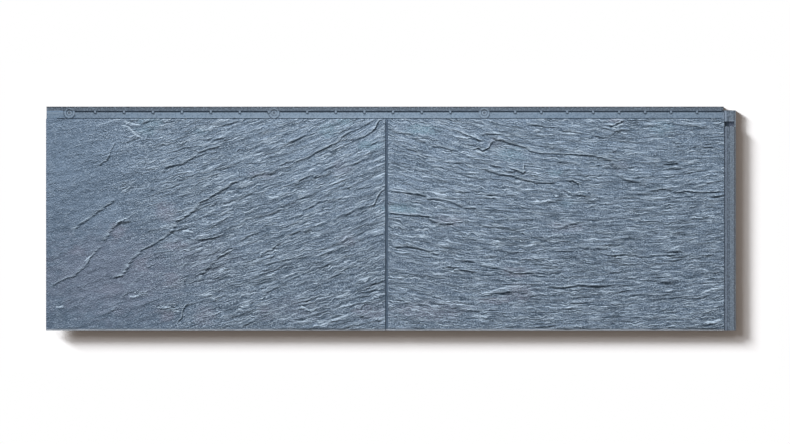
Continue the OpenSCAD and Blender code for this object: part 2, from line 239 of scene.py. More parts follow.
# Shorter seams between the main clefts, written as the clefts are
LEFT_SEAMS = (
    (0.9, (350, 134), (356, 130.5), (362, 127), (368, 124), (373, 121.5)),
    (0.7, (336, 137), (342, 132), (348, 129), (354, 126.5)),
    (0.8, (248, 162.5), (256, 163.5), (263, 163), (268, 161)),
    (0.8, (214, 170.5), (222, 169), (230, 167.5), (236, 166)),
    (0.9, (236, 200), (243, 198), (250, 194.5), (257, 194), (264, 194)),
    (0.8, (258, 190), (266, 187), (275, 184), (284, 181.5)),
    (0.7, (262, 191), (272, 188), (282, 185)),
    (0.7, (270, 200), (278, 198.5), (284, 195.5), (292, 192.5)),
    (0.7, (298, 196.5), (303, 198), (308, 195.5), (316, 196.5)),
    (0.8, (338, 184.5), (344, 186.5), (350, 189), (360, 188.5), (368, 189)),
    (0.8, (352, 166), (358, 163), (364, 159.5), (372, 158)),
    (0.7, (322, 171), (328, 168.5), (336, 165.5)),
    (0.7, (256, 135), (262, 132.5), (268, 132)),
    (0.8, (286, 143), (294, 141), (300, 138.5), (308, 134)),
    (0.6, (243, 134), (250, 132.5), (256, 129)),
    (0.8, (218, 126), (226, 125), (234, 123), (240, 121)),
    (0.7, (222, 134.5), (230, 133), (236, 129)),
    (0.7, (216, 226), (222, 222), (228, 218), (234, 214)),
    (0.8, (288, 220), (296, 217), (304, 214.5)),
    (0.8, (364, 146), (372, 144.5), (380, 142), (386, 140)),
    (0.9, (386, 172), (378, 176), (370, 178)),
    (1.0, (238, 243), (243, 240), (248, 236.5), (253, 234), (260, 234)),
    (0.8, (284, 239), (290, 236), (298, 232.5), (306, 231), (314, 229)),
    (0.9, (262, 266), (270, 264), (278, 262), (288, 259.5), (298, 258.5), (308, 257), (316, 254.5)),
    (0.9, (318, 256.5), (324, 254.5), (330, 252), (336, 249.5)),
    (0.9, (328, 279), (333, 277), (338, 275), (344, 270), (350, 267.5), (358, 266)),
    (0.8, (280, 284), (288, 281), (296, 277.5), (304, 274), (312, 271)),
    (0.7, (262, 299), (266, 294), (272, 290), (280, 286.5)),
    (0.8, (348, 239), (354, 237), (360, 234), (368, 233)),
    (0.8, (370, 237), (378, 236), (385, 234)),
    (0.9, (386, 228.5), (378, 231), (370, 233)),
    (0.9, (372, 276), (365, 278.5), (358, 281)),
    (1.0, (350, 314), (340, 317), (330, 321), (322, 325), (313, 325.5)),
    (1.0, (352, 316.5), (360, 316.5), (368, 318.5), (376, 320), (383, 323)),
    (0.7, (181, 160.5), (187, 155.5), (192, 151.5), (198, 149)),
    (0.8, (155, 192.5), (162, 190.5), (170, 188), (177, 185.5), (182, 182)),
    (0.7, (178, 181.5), (185, 178), (190, 176.5), (197, 175.5)),
    (0.7, (200, 168), (207, 165), (214, 163)),
    (0.7, (208, 178), (213, 175), (220, 174)),
    (0.8, (200, 141), (208, 139.5), (215, 139)),
    (0.6, (66, 217.5), (70, 213.5), (74, 208.5)),
    (0.6, (112, 312), (117, 307), (121, 301), (127, 295)),
    (0.6, (128, 289), (132, 286), (137, 280), (142, 276), (146, 272)),
    (0.6, (146, 231), (155, 231), (162, 234), (168, 236)),
)
RIGHT_SEAMS = (
    (0.7, (392, 140), (400, 144.5), (409, 149), (425, 156), (434, 159.5), (443, 162.3), (455, 163.5)),
    (0.8, (437, 192.3), (449, 192), (462, 192.3), (470, 192.3), (479, 194.8), (497, 196)),
    (0.7, (444, 198.5), (458, 198.5), (472, 198.5), (494, 198.5), (504, 201)),
    (0.8, (504, 219), (512, 220), (519, 220.4), (535, 219.8)),
    (0.7, (415, 199.8), (419, 201), (424, 203.5)),
    (0.9, (525, 125.4), (534, 125.4), (549, 128), (559, 128.5)),
    (0.6, (521.5, 143), (527, 141), (534, 138.5), (544, 138.5)),
    (0.6, (529, 176), (536, 175.5), (543, 174)),
    (0.6, (454, 163.5), (464, 163.5), (476, 164)),
    (0.9, (561, 131.6), (568, 131.8), (575, 132.3), (583.5, 135.4)),
    (0.6, (616, 142.3), (625, 142), (636, 143), (648, 143)),
    (0.7, (556, 162.3), (563, 162), (570, 163), (580, 165)),
    (1.0, (617, 176), (623.5, 179.8), (633.5, 182.3), (642, 183)),
    (0.7, (672, 168), (680, 170), (687, 173), (696, 172), (703.5, 171)),
    (0.7, (623.5, 194.8), (635, 195), (648.5, 194.8)),
    (0.7, (616, 198.5), (625, 198), (633.5, 198), (643.5, 198.5)),
    (0.7, (616, 132.3), (623, 131), (631, 131.6)),
    (0.9, (458, 237), (466, 238), (474, 240)),
    (0.9, (488, 252), (495, 250), (502, 250.5), (507, 252.5), (512, 253.5), (518, 252.5), (526, 254)),
    (0.9, (452, 261), (462, 260.5), (470, 261.5), (478, 264.5)),
    (0.7, (455, 271), (465, 271), (474, 272), (483, 275), (495, 275)),
    (0.8, (388, 288), (393, 289), (399, 290.5)),
    (0.8, (392, 300), (402, 301), (408, 304)),
    (0.7, (500, 293), (510, 292), (520, 292.5), (527, 295), (535, 297)),
    (0.9, (533, 264), (545, 265), (553, 266), (560, 269)),
    (0.7, (456, 310), (470, 311), (485, 311), (500, 309)),
    (0.7, (510, 320), (525, 319), (540, 320), (555, 321)),
    (0.8, (482, 226), (490, 228), (497, 227.5), (505, 228), (513, 230), (521, 232)),
    (0.7, (416, 241), (424, 242.5), (432, 243.5)),
    (0.7, (436, 244), (442, 246), (448, 248)),
    (0.7, (596, 249), (603, 249), (608, 250)),
    (1.0, (598, 254), (606, 255), (614, 256), (621, 255), (628, 255.5), (636, 256), (646, 258.5)),
    (0.9, (646, 258), (650, 256), (657, 256), (664, 255), (672, 255.5), (680, 254)),
    (0.8, (660, 250), (668, 250.5), (676, 252), (684, 252)),
    (0.6, (688, 258.5), (698, 258), (706, 258)),
    (0.8, (592, 287.5), (600, 287), (608, 286), (617, 284.5)),
    (0.7, (630, 295), (640, 294.5), (652, 295), (662, 295.5), (672, 295)),
    (0.7, (682, 298), (690, 299), (698, 299), (704, 297), (712, 294)),
    (0.7, (598, 234), (606, 234), (614, 233)),
    (0.8, (618, 238), (628, 238.5), (638, 239.5), (646, 240)),
    (0.7, (640, 234.5), (648, 232), (656, 232.5)),
    (0.7, (560, 231), (566, 228.5), (574, 227)),
    (0.7, (618, 265), (626, 265), (634, 264.5), (640, 267)),
    (0.7, (570, 273), (580, 272), (588, 273.5), (598, 272)),
    (0.7, (604, 273), (614, 272.5), (622, 273)),
    (0.7, (640, 280), (650, 280.5), (657, 281), (664, 282.5), (670, 283.5)),
    (0.7, (560, 323), (568, 321.5), (576, 321), (586, 320)),
    (0.7, (620, 321), (628, 322), (636, 321)),
    (1.0, (724, 287), (714, 288.5), (706, 291), (700, 294)),
    (0.9, (722, 319.5), (712, 321), (703, 322)),
)

# Chips that cross the cleavage, written as the clefts are
LEFT_CHIPS = {
    "steep_cleft": (0.9, (98, 166.5), (106.4, 161), (109, 157.5), (111.4, 152), (113.2, 147.5),
                    (116.8, 142)),
    "joint_hook": (1.4, (373, 208), (376, 201), (378, 196), (382, 191), (386, 189)),
    "small_hook": (1.0, (260, 258), (263, 254), (272, 250), (276, 246), (282, 243)),
    "bottom_hook": (1.1, (177, 324), (182, 318), (183, 312), (185, 307), (190, 303)),
    "light_vee_low": (1.5, (318, 307), (312, 311), (306, 309), (300, 304)),
    "light_vee_top": (1.3, (143.2, 138.4), (137.7, 135.6), (134.1, 132.9), (130.5, 128.8), (126.8, 127),
                      (122.7, 125.6)),
    "light_bar_top": (1.3, (140.5, 124.7), (133.2, 123.6), (127.7, 122.9), (124.1, 121.5)),
    "light_bar_low": (1.0, (350, 291), (343, 295), (335, 297)),
    "light_edge": (1.3, (232, 250), (226, 252.5), (219, 255.5)),
    "ledge_corner": (1.0, (372, 132), (376, 128), (377, 124), (379, 121)),
    "edge_flake": (1.2, (64, 306.7), (60, 306.7), (56, 306.7)),
    "flake_light": (1.0, (140, 295.5), (134, 296.5), (129, 296)),
    "step_light": (1.0, (194, 232), (188, 230.8), (182, 230.3)),
    "light_dash": (1.2, (279, 196.5), (274, 197.5), (268, 196.5)),
    "small_gash": (0.7, (120, 171.5), (123, 175), (126.5, 178.5)),
    "hook_mark": (0.9, (360.5, 311.5), (361.5, 307.5), (365, 305)),
    "vee_mark": (0.7, (145, 264.5), (148, 268.5), (152, 265.5), (156, 264)),
    "scuff_low": (1.1, (213, 295), (208, 294.3), (202, 295.5)),
    "scuff_low_end": (1.1, (219, 299.5), (214, 298), (209, 298.8)),
    "scuff_bottom": (1.0, (180, 311.5), (176, 310.5), (172, 309.5)),
    "scuff_bottom_end": (0.9, (171, 306.8), (167, 307.5), (164, 306.5)),
    "scuff_middle": (1.1, (127, 218), (122, 220), (117, 221.8)),
    "scuff_inner": (0.9, (203, 247), (199, 248.6), (195, 250.5)),
    "scuff_side": (0.9, (91, 256), (88, 258.5), (84, 261)),
    "scuff_top": (0.9, (130, 186), (126, 189.5), (121, 193)),
}
RIGHT_CHIPS = {
    "curled_chip": (1.6, (473.5, 149.2), (478, 148.8), (481.5, 150.8), (485.8, 150.4), (488, 148.5),
                    (490, 146.5), (491.5, 143.8), (493, 140.4)),
    "curl_foot": (1.0, (487, 152.5), (480, 152), (475, 150.5)),
    "corner_chip": (1.7, (510, 169.5), (514.2, 170), (517.3, 170.8), (520.4, 172.3), (523, 173.5),
                    (525.4, 172), (524.6, 168), (523.5, 164.2)),
    "middle_hook": (1.3, (565, 180), (572, 181), (578, 184), (580, 190)),
    "top_chip": (1.5, (608.5, 124.7), (610.4, 126.2), (613.5, 125.8), (617.3, 124.3), (620.4, 122.8),
                 (623.5, 120.5)),
    "top_chip_lip": (1.4, (623, 123.5), (618, 126), (612, 127.5)),
    "chip_edge": (0.9, (617, 131), (615.5, 129.5), (613.5, 128)),
}

# Tinted patches: middle and half size in pixels of the photograph, then strength
TEAL_PATCHES = (
    (422, 130, 16, 5, 1.0), (328, 130, 10, 7, 0.8), (345, 122, 8, 4, 1.0), (370, 146, 13, 5, 0.9),
    (510, 155, 14, 7, 0.7), (555, 173, 7, 4, 0.7), (400, 209, 18, 5, 0.9), (662, 128, 11, 8, 0.6),
    (567, 203, 9, 4, 0.5), (147, 131, 10, 5, 0.7), (200, 132, 7, 4, 0.6), (150, 122, 12, 5, 0.7),
)
MAUVE_PATCHES = (
    (110, 275, 70, 40, 0.42), (200, 262, 35, 22, 0.40), (78, 252, 9, 7, 0.7), (117, 232, 8, 9, 0.8),
    (167, 212, 10, 9, 0.8), (140, 265, 10, 10, 0.8), (177, 246, 15, 5, 0.8), (172, 281, 9, 10, 0.8),
    (205, 315, 10, 10, 0.7), (167, 315, 8, 6, 0.8), (267, 312, 9, 8, 0.8), (110, 290, 20, 8, 0.6),
    (450, 221, 12, 5, 1.0), (428, 310, 36, 9, 0.8), (520, 292, 13, 9, 0.9), (495, 142, 6, 6, 0.6),
    (342, 168, 10, 9, 0.5), (348, 241, 8, 6, 0.8), (370, 312, 16, 8, 0.8), (517, 272, 12, 5, 1.1),
    (262, 175, 12, 4, 0.7), (566, 227, 16, 5, 0.7), (300, 308, 30, 12, 0.3), (616, 121, 8, 3, 1.2),
    (495, 301, 16, 3, 1.1), (618, 166, 10, 5, 0.5),
)

# Places split more raggedly than the rest, written as the patches are
RAGGED_PATCHES = (
    (310, 305, 14, 8, 0.7), (170, 309, 12, 5, 0.8), (210, 296, 10, 4, 0.8), (224, 249, 9, 5, 0.8),
    (335, 265, 16, 8, 0.5), (125, 222, 7, 6, 0.6), (127, 187, 7, 6, 0.6), (140, 294, 8, 3, 0.8),
    (583, 290, 14, 6, 0.5), (540, 243, 18, 6, 0.4), (708, 320, 14, 8, 0.5), (590, 197, 14, 6, 0.5),
    (408, 248, 16, 4, 0.4), (372, 290, 12, 20, 0.4), (545, 270, 14, 6, 0.4),
)


def photo_point(px, py):
    """Place on the panel of a point of the photograph, in metres."""
    x = (px - PHOTO_LEFT) * PHOTO_SCALE - PANEL_W / 2
    y = (PHOTO_BOTTOM - py) * PHOTO_SCALE - PANEL_H / 2
    return x, y


def traced_line(points):
    return np.array([photo_point(px, py) for px, py in points])


def soft_step(t):
    t = np.clip(t, 0, 1)
    return t * t * (3 - 2 * t)


def gradient_noise(x, y, seed):
    """Smooth noise from -1 to 1 with features about one unit wide."""
    rng = np.random.default_rng(seed)
    order = rng.permutation(256)
    turn = rng.uniform(0, 2 * np.pi, 256)
    xi = np.floor(x).astype(int)
    yi = np.floor(y).astype(int)
    xf = x - xi
    yf = y - yi

    def corner(i, j):
        angle = turn[order[(order[(xi + i) & 255] + yi + j) & 255]]
        return np.cos(angle) * (xf - i) + np.sin(angle) * (yf - j)

    sx = xf * xf * xf * (xf * (xf * 6 - 15) + 10)
    sy = yf * yf * yf * (yf * (yf * 6 - 15) + 10)
    low = corner(0, 0) * (1 - sx) + corner(1, 0) * sx
    high = corner(0, 1) * (1 - sx) + corner(1, 1) * sx
    return 1.5 * (low * (1 - sy) + high * sy)


def layered_noise(x, y, seed, octaves, fall=0.5):
    total = 0
    size = 1.0
    for i in range(octaves):
        total = total + size * gradient_noise(x * 2 ** i, y * 2 ** i, seed + i)
        size *= fall
    return total


def shingle(phase, edge):
    """Rises over a short share of the pitch, then falls slowly to the next step."""
    part = phase - np.floor(phase)
    return np.where(part < edge, soft_step(part / edge), (1 - part) / (1 - edge))


def cleft_distance(x, y, line, reach, seed):
    """Places near a cleft, their distance left of its ragged line, and its strength towards the ends."""
    low = line.min(0) - reach
    high = line.max(0) + reach
    near = np.flatnonzero((x > low[0]) & (x < high[0]) & (y > low[1]) & (y < high[1]))
    qx = x[near]
    qy = y[near]
    wobble = 1.3 * MM * gradient_noise(qx / (6 * MM), qy / (6 * MM), seed)
    wobble = wobble + 0.7 * MM * gradient_noise(qx / (2.6 * MM), qy / (2.6 * MM), seed + 1)
    nearest = np.full(qx.shape, 1e9)
    side = np.zeros(qx.shape)
    along = np.zeros(qx.shape)
    run = 0.0
    for start, end in zip(line[:-1], line[1:]):
        leg = end - start
        length = math.hypot(leg[0], leg[1])
        t = ((qx - start[0]) * leg[0] + (qy - start[1]) * leg[1]) / length ** 2
        held = np.clip(t, 0, 1)
        distance = np.hypot(qx - start[0] - held * leg[0], qy - start[1] - held * leg[1])
        turn = np.sign(leg[0] * (qy - start[1]) - leg[1] * (qx - start[0]))
        closer = distance < nearest
        nearest = np.where(closer, distance, nearest)
        side = np.where(closer, turn, side)
        along = np.where(closer, run + t * length, along)
        run += length
    taper = min(9 * MM, run * 0.25)
    fade = soft_step((along + 0.25 * taper) / taper) * soft_step((run - along + 0.25 * taper) / taper)
    return near, nearest * side + wobble, fade


def add_cleft(h, cleft_shade_and_highlight, x, y, line, drop, wide, seed):
    """Raises the left of a cleft's line and drops to a small groove beside it; paints shade at its foot and
    a highlight on its brow, or only a highlight where the line runs leftwards.
    """
    near, d, fade = cleft_distance(x, y, line, 3.5 * wide, seed)
    step = soft_step(d / (1.2 * MM) + 0.5)
    above = np.exp(-np.clip(d, 0, None) / wide)
    below = -0.55 * np.exp(-np.clip(-d, 0, None) / (2.2 * MM))
    h[near] += drop * MM * fade * (step * above + (1 - step) * below)
    if line[-1, 0] > line[0, 0]:
        foot = np.exp(-((d + 0.4 * MM) / (0.9 * MM)) ** 2)
        brow = np.exp(-((d - 1.7 * MM) / (0.9 * MM)) ** 2)
        tone = drop * fade * (foot - 0.7 * brow)
    else:
        tone = -1.2 * drop * fade * np.exp(-((d - 0.3 * MM) / (0.9 * MM)) ** 2)
    cleft_shade_and_highlight[near] = np.where(np.abs(tone) > np.abs(cleft_shade_and_highlight[near]), tone, cleft_shade_and_highlight[near])


def bed_lines(x, field, bed):
    """Rise and spread of the cleavage at a distance along a slate."""
    length = field[1] - field[0]
    height = field[3] - field[2]
    u = (x - field[0]) / length
    rise = length * (bed[0] * u + (bed[1] - bed[0]) * u ** 2 / 2)
    first = bed[2] - bed[0]
    last = bed[3] - bed[1]
    spread = length / height * (first * u + (last - first) * u ** 2 / 2)
    return rise, spread


def bed_slope(x, y, field, bed):
    """Slope of the cleavage at a place on a slate."""
    u = (x - field[0]) / (field[1] - field[0])
    v = (y - field[2]) / (field[3] - field[2])
    return (bed[0] * (1 - u) + bed[1] * u) * (1 - v) + (bed[2] * (1 - u) + bed[3] * u) * v


def minor_clefts(field, bed, count, seed):
    """Short clefts scattered along the cleavage of a slate: drop in mm, then a line of points."""
    rng = np.random.default_rng(seed)
    made = []
    for _ in range(count):
        x = rng.uniform(field[0], field[1])
        y = rng.uniform(field[2], field[3])
        lean = rng.normal(0, 0.08)
        line = [(x, y)]
        for _ in range(int(rng.integers(3, 9))):
            step = rng.uniform(4, 9) * MM
            x += step
            y += step * (bed_slope(x, y, field, bed) + lean + rng.normal(0, 0.22))
            line.append((x, y))
        if rng.random() < 0.35:
            line.reverse()
        made.append((rng.uniform(0.25, 0.8), np.array(line)))
    return made


def flow(x, y, field, bed, seed):
    """Distance along the cleavage of a slate and distance across it, both wandering a little."""
    rise, spread = bed_lines(x, field, bed)
    v = y - field[2]
    across = v - rise - spread * v
    wander = 2.4 * MM * gradient_noise(x / 0.06, across / 0.035, seed + 1)
    wander = wander + 1.5 * MM * gradient_noise(x / 0.016, across / 0.012, seed + 2)
    return x, across + wander


def calm_part(x, y):
    """From 0 to 1 where the left slate is smoother and its cleavage hardly shows."""
    calm = soft_step((-290 * MM - x - 0.35 * (y + 20 * MM)) / (200 * MM))
    return calm * (1 - np.minimum(patch_mask(x, y, RAGGED_PATCHES, RAGGED_SEED), 1))


def roughness_part(s, w, x, y, seed):
    """Share of the fine relief at a place: some parts of a slate are split flat, others are ragged."""
    rough = np.clip(0.9 + 0.5 * layered_noise(s / 0.055, w / 0.020, seed + 21, 2), 0.4, 1.3)
    rough = rough * (1 - 0.55 * patch_mask(x, y, TEAL_PATCHES, TEAL_SEED))
    return rough + patch_mask(x, y, RAGGED_PATCHES, RAGGED_SEED)


def riven_face(x, y, field, bed, seed, clefts, chips, gain):
    """Height of the riven surface above the plain face, and the painted shade and highlights along its
    clefts.
    """
    s, w = flow(x, y, field, bed, seed)
    rough = roughness_part(s, w, x, y, seed)
    swell = 0.6 * MM * layered_noise(s / 0.10, w / 0.030, seed + 3, 2)
    ridges = np.zeros_like(x)
    for height, length, width, step in RIDGES:
        ridges += height * MM * np.abs(gradient_noise(s / length, w / width, seed + step))
    phase = w / (9 * MM) + layered_noise(s / 0.05, w / 0.02, seed + 15, 2)
    strength = np.clip(0.35 + gradient_noise(s / 0.06, w / 0.012, seed + 17), 0, 1)
    ledges = 1.0 * MM * strength * shingle(phase, 0.14)
    calm = calm_part(x, y)
    lively = 1 - 0.75 * calm
    lumps = 0.5 * MM * calm * layered_noise(x / 0.013, y / 0.009, seed + 30, 2)
    h = swell + lumps + (ridges * gain + ledges) * rough * lively
    cleft_shade_and_highlight = np.zeros_like(x)
    for i, (drop, line) in enumerate(minor_clefts(field, bed, MINOR_CLEFTS, seed + 50)):
        drop = drop * (1 - 0.75 * calm_part(line[0, 0], line[0, 1]))
        add_cleft(h, cleft_shade_and_highlight, x, y, line, drop, 4.5 * MM, seed + 300 + 2 * i)
    cleft_shade_and_highlight *= 0.8
    for i, (drop, *points) in enumerate(clefts):
        line = traced_line(points)
        add_cleft(h, cleft_shade_and_highlight, x, y, line, 1.05 * drop, (3 + 5 * drop) * MM, seed + 1000 + 2 * i)
    for i, (drop, *points) in enumerate(chips.values()):
        line = traced_line(points)
        add_cleft(h, cleft_shade_and_highlight, x, y, line, 1.05 * drop, 6 * MM, seed + 200 + 2 * i)
    rim = np.minimum(np.minimum(x - field[0], field[1] - x), field[3] - y)
    shoulder = soft_step(rim / (1.2 * MM))
    h = h * (0.5 + 0.5 * shoulder) - 0.05 * MM * (1 - shoulder)
    above_lip = soft_step((y - field[2] - LIP_H) / (0.9 * MM) + 0.5)
    return h * above_lip - 0.2 * MM * (1 - above_lip), cleft_shade_and_highlight * above_lip


def split_cells(points, quads, chosen):
    """Faces of a grid of cells, with the chosen cells split along the cleavage, and the points they need."""
    points = [tuple(p) for p in points]
    split = {}

    def between(a, b):
        """Points from a to b, both left out, made once for each edge."""
        if (b, a) in split:
            return split[b, a][::-1]
        if (a, b) not in split:
            shares = [k / CHIP_SPLIT for k in range(1, CHIP_SPLIT)]
            ends = list(zip(points[a], points[b]))
            split[a, b] = list(range(len(points), len(points) + len(shares)))
            points.extend(tuple(u + t * (v - u) for u, v in ends) for t in shares)
        return split[a, b]

    faces = []
    for a, b, c, d in quads[chosen].tolist():
        low = [a, *between(a, b), b]
        high = [d, *between(d, c), c]
        for k in range(CHIP_SPLIT):
            faces.append((low[k], low[k + 1], high[k + 1], high[k]))
    for a, b, c, d in quads[~chosen].tolist():
        low = between(a, b) if (a, b) in split or (b, a) in split else []
        high = between(c, d) if (c, d) in split or (d, c) in split else []
        faces.append((a, *low, b, c, *high, d))
    return np.array(points), faces


def closed_block(name, points, faces, floor_z):
    """A solid with the given upper surface, a flat floor and upright sides."""
    count = len(points)
    base = points.copy()
    base[:, 2] = floor_z
    forward = {(a, b) for face in faces for a, b in zip(face, face[1:] + face[:1])}
    rim = [(a, b) for a, b in forward if (b, a) not in forward]
    walls = [(b, a, a + count, b + count) for a, b in sorted(rim)]
    under = [tuple(i + count for i in face[::-1]) for face in faces]
    mesh = bpy.data.meshes.new(name)
    mesh.from_pydata([tuple(p) for p in np.concatenate([points, base])], [], faces + under + walls)
    mesh.update()
    return add_object(name, mesh)


def add_object(name, data):
    piece = bpy.data.objects.new(name, data)
    bpy.context.scene.collection.objects.link(piece)
    return piece


def box_object(name, x0, x1, y0, y1, z0, z1):
    points = [(x, y, z) for z in (z0, z1) for y in (y0, y1) for x in (x0, x1)]
    faces = [(0, 2, 3, 1), (4, 5, 7, 6), (0, 1, 5, 4), (2, 6, 7, 3), (0, 4, 6, 2), (1, 3, 7, 5)]
    mesh = bpy.data.meshes.new(name)
    mesh.from_pydata(points, [], faces)
    mesh.update()
    return add_object(name, mesh)


def settle(piece):
    """Makes the modifiers of a piece part of its mesh."""
    seen = piece.evaluated_get(bpy.context.evaluated_depsgraph_get())
    made = bpy.data.meshes.new_from_object(seen)
    piece.modifiers.clear()
    piece.data = made


def work(piece, tool, operation):
    """Cuts the tool from the piece, or joins the two, and removes the tool."""
    cut = piece.modifiers.new("work", "BOOLEAN")
    cut.operation = operation
    cut.object = tool
    cut.solver = "MANIFOLD"
    settle(piece)
    bpy.data.objects.remove(tool)


def near_chips(x, y, chips):
    """Places inside the boxes round the chips."""
    near = np.zeros(x.shape, dtype=bool)
    for _, *points in chips.values():
        line = traced_line(points)
        low = line.min(0) - 4 * MM
        high = line.max(0) + 4 * MM
        near |= (x > low[0]) & (x < high[0]) & (y > low[1]) & (y < high[1])
    return near


def slate_block(name, field, bed, seed, clefts, chips, gain):
    """One slate: its riven surface on a grid that follows the cleavage, trimmed to its outline."""
    x0, x1, y0, y1 = field
    margin = 4 * MM
    columns = int((x1 - x0 + 2 * margin) / CELL_ALONG) + 1
    row_x = np.linspace(x0 - margin, x1 + margin, columns)
    rise, spread = bed_lines(row_x, field, bed)
    low = (-margin - rise + spread * margin).min()
    high = ((y1 - y0 + margin) * (1 - spread) - rise).max()
    rows = int((high - low) / CELL_ACROSS) + 1
    x, level = np.meshgrid(row_x, np.linspace(low, high, rows))
    y = y0 + (level + rise) / (1 - spread)
    inside = (y > y0 - margin) & (y < y1 + margin)
    index = np.arange(rows * columns).reshape(rows, columns)
    kept = inside[:-1, :-1] & inside[1:, :-1] & inside[:-1, 1:] & inside[1:, 1:]
    quads = np.stack([index[:-1, :-1], index[:-1, 1:], index[1:, 1:], index[1:, :-1]], -1)[kept]
    used, quads = np.unique(quads, return_inverse=True)
    quads = quads.reshape(-1, 4)
    points = np.stack([x.ravel()[used], y.ravel()[used], 0 * x.ravel()[used]], -1)
    middle = points[quads].mean(1)
    points, faces = split_cells(points, quads, near_chips(middle[:, 0], middle[:, 1], chips))
    h, cleft_shade_and_highlight = riven_face(points[:, 0], points[:, 1], field, bed, seed, clefts, chips, gain)
    points[:, 2] = np.clip(FIELD_Z + h, LOWEST_Z, HIGHEST_Z)
    block = closed_block(name, points, faces, BLOCK_Z - 2 * MM)
    set_attribute(block.data, "cleft_shade_and_highlight", np.concatenate([cleft_shade_and_highlight, 0 * cleft_shade_and_highlight]))
    outline = box_object(name + "_outline", x0, x1, y0, y1, BLOCK_Z, CLEAR_Z)
    work(block, outline, "INTERSECT")
    return block


def merged_copy(node, name):
    """A copy of a CAD node's mesh with its loose triangles merged."""
    mesh = node.data.copy()
    bm = bmesh.new()
    bm.from_mesh(mesh)
    bmesh.ops.remove_doubles(bm, verts=bm.verts, dist=0.002 * MM)
    bm.to_mesh(mesh)
    bm.free()
    if mesh.has_custom_normals:
        mesh.attributes.remove(mesh.attributes["custom_normal"])
    mesh.materials.clear()
    return add_object(name, mesh)


def smoothed(values, edges, rounds):
    """Values at the corners of a mesh, spread along its edges."""
    a = edges[:, 0]
    b = edges[:, 1]
    count = len(values)
    links = np.bincount(a, minlength=count) + np.bincount(b, minlength=count)
    out = values.copy()
    for _ in range(rounds):
        total = np.bincount(a, out[b], count) + np.bincount(b, out[a], count)
        out = 0.5 * out + 0.5 * total / np.maximum(links, 1)
    return out


def patch_mask(x, y, patches, seed):
    """Soft patches with ragged edges, from 0 to about 1."""
    ragged = 0.45 * layered_noise(x / (16 * MM), y / (7 * MM), seed, 3)
    mask = np.zeros_like(x)
    for px, py, half_x, half_y, strength in patches:
        mx, my = photo_point(px, py)
        d = np.hypot((x - mx) / (half_x * PHOTO_SCALE), (y - my) / (half_y * PHOTO_SCALE))
        mask = np.maximum(mask, strength * soft_step(1.45 - d + ragged))
    return mask


def set_attribute(mesh, name, values):
    layer = mesh.attributes.new(name, "FLOAT", "POINT")
    layer.data.foreach_set("value", values.astype(np.float32))


def paint_attributes(mesh):
    """Hollows and crests for painted shade and painted highlights, tinted patches and cleavage of the
    slates, kept on the mesh for the materials.
    """
    count = len(mesh.vertices)
    co = np.empty(count * 3)
    mesh.vertices.foreach_get("co", co)
    co = co.reshape(-1, 3)
    edges = np.empty(len(mesh.edges) * 2, dtype=int)
    mesh.edges.foreach_get("vertices", edges)
    edges = edges.reshape(-1, 2)
    x = co[:, 0]
    y = co[:, 1]
    z = np.clip(co[:, 2], LOWEST_Z, None)
    hollow = (smoothed(z, edges, 12) - z) / MM
    set_attribute(mesh, "hollow", np.where(co[:, 2] > CUT_Z, hollow, 0))
    set_attribute(mesh, "teal", patch_mask(x, y, TEAL_PATCHES, TEAL_SEED))
    set_attribute(mesh, "mauve", patch_mask(x, y, MAUVE_PATCHES, MAUVE_SEED))
    left = x < (LEFT_SLATE[1] + RIGHT_SLATE[0]) / 2
    s_left, w_left = flow(x, y, LEFT_SLATE, LEFT_BED, LEFT_SEED)
    s_right, w_right = flow(x, y, RIGHT_SLATE, RIGHT_BED, RIGHT_SEED)
    rough_left = roughness_part(s_left, w_left, x, y, LEFT_SEED)
    rough_right = roughness_part(s_right, w_right, x, y, RIGHT_SEED)
    calm = np.where(left, calm_part(x, y), 0)
    set_attribute(mesh, "rough", np.where(left, rough_left, rough_right) * (1 - 0.35 * calm))
    set_attribute(mesh, "calm", calm)
    set_attribute(mesh, "cleavage_along", np.where(left, s_left, s_right))
    set_attribute(mesh, "cleavage_across", np.where(left, w_left, w_right))


def new_node(nodes, kind, **settings):
    """A new node with its properties set."""
    node = nodes.new(kind)
    for key, value in settings.items():
        setattr(node, key, value)
    return node


def mottle_group():
    """Soft cloudy variation and fine speckle, used by every finish."""
    group = bpy.data.node_groups.new("mottle", "ShaderNodeTree")
    face = group.interface
    face.new_socket("Vector", in_out="INPUT", socket_type="NodeSocketVector")
    face.new_socket("Cloud scale", in_out="INPUT", socket_type="NodeSocketFloat")
    face.new_socket("Speckle scale", in_out="INPUT", socket_type="NodeSocketFloat")
    face.new_socket("Cloud", in_out="OUTPUT", socket_type="NodeSocketFloat")
    face.new_socket("Speckle", in_out="OUTPUT", socket_type="NodeSocketFloat")
    nodes = group.nodes
    links = group.links
    given = nodes.new("NodeGroupInput")
    made = nodes.new("NodeGroupOutput")
    cloud = new_node(nodes, "ShaderNodeTexNoise", noise_dimensions="3D")
    cloud.inputs["Detail"].default_value = 3
    speckle = new_node(nodes, "ShaderNodeTexNoise", noise_dimensions="3D")
    speckle.inputs["Detail"].default_value = 2
    links.new(given.outputs["Vector"], cloud.inputs["Vector"])
    links.new(given.outputs["Cloud scale"], cloud.inputs["Scale"])
    links.new(given.outputs["Vector"], speckle.inputs["Vector"])
    links.new(given.outputs["Speckle scale"], speckle.inputs["Scale"])
    links.new(cloud.outputs["Fac"], made.inputs["Cloud"])
    links.new(speckle.outputs["Fac"], made.inputs["Speckle"])
    return group


def place_group(nodes, links, group, vector, **values):
    placed = nodes.new("ShaderNodeGroup")
    placed.node_tree = group
    links.new(vector, placed.inputs["Vector"])
    for key, value in values.items():
        placed.inputs[key.replace("_", " ")].default_value = value
    return placed


def new_material(name):
    material = bpy.data.materials.new(name)
    material.use_nodes = True
    nodes = material.node_tree.nodes
    nodes.clear()
    shader = nodes.new("ShaderNodeBsdfPrincipled")
    out = nodes.new("ShaderNodeOutputMaterial")
    material.node_tree.links.new(shader.outputs["BSDF"], out.inputs["Surface"])
    return material, nodes, material.node_tree.links, shader


